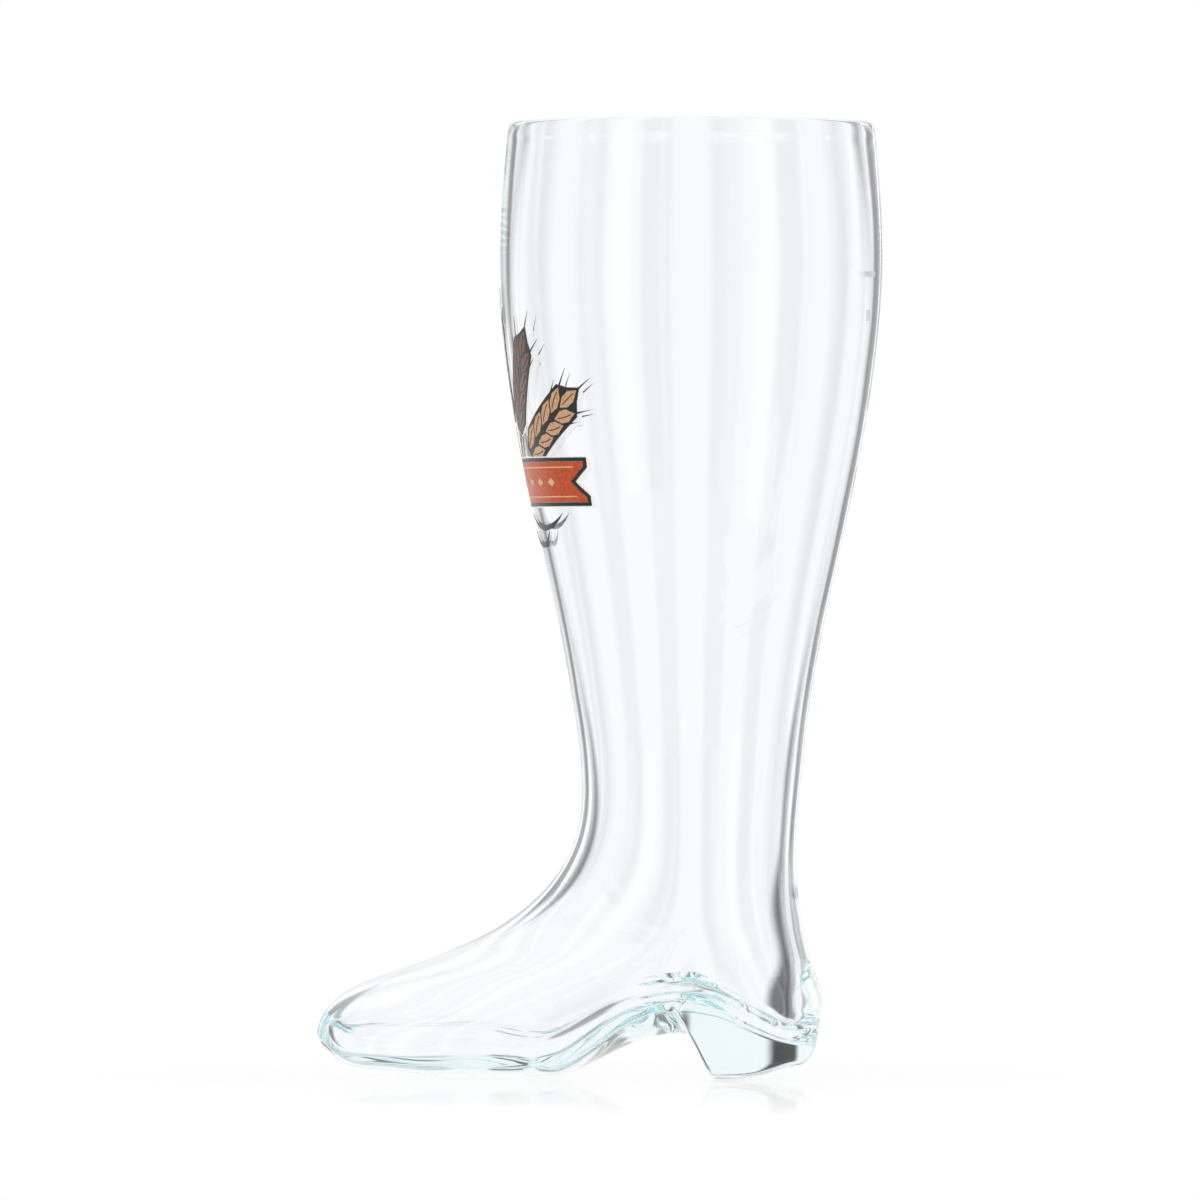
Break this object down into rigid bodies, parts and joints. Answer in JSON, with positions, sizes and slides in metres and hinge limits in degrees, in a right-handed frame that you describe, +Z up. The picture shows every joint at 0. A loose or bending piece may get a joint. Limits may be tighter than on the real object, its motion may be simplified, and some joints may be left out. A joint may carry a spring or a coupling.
{
  "type": "beer boot glass",
  "caption": "Tall clear drinking glass in the form of a boot, with a round flared leg, a hollow foot, an arched sole, a low heel and a fired-on colour print on the front.",
  "frame": {"origin": "on the standing surface, under the middle of the outer box", "axes": "+Z up along the leg, toe along -X, heel along +X, +Y across the foot"},
  "size_m": [0.1984, 0.1338, 0.334],
  "materials": {
    "clear_glass": "polished",
    "white_enamel": "satin",
    "tan_enamel": "gloss",
    "brown_enamel": "gloss",
    "orange_enamel": "gloss",
    "rose_enamel": "gloss",
    "black_enamel": "gloss",
    "grey_enamel": "satin"
  },
  "bodies": {
    "root": {"boot_glass": "clear_glass", "print_base": "white_enamel", "print_tan": "tan_enamel", "print_brown": "brown_enamel", "print_orange": "orange_enamel", "print_rose": "rose_enamel", "print_black": "black_enamel", "fill_mark": "grey_enamel"}
  },
  "joints": []
}
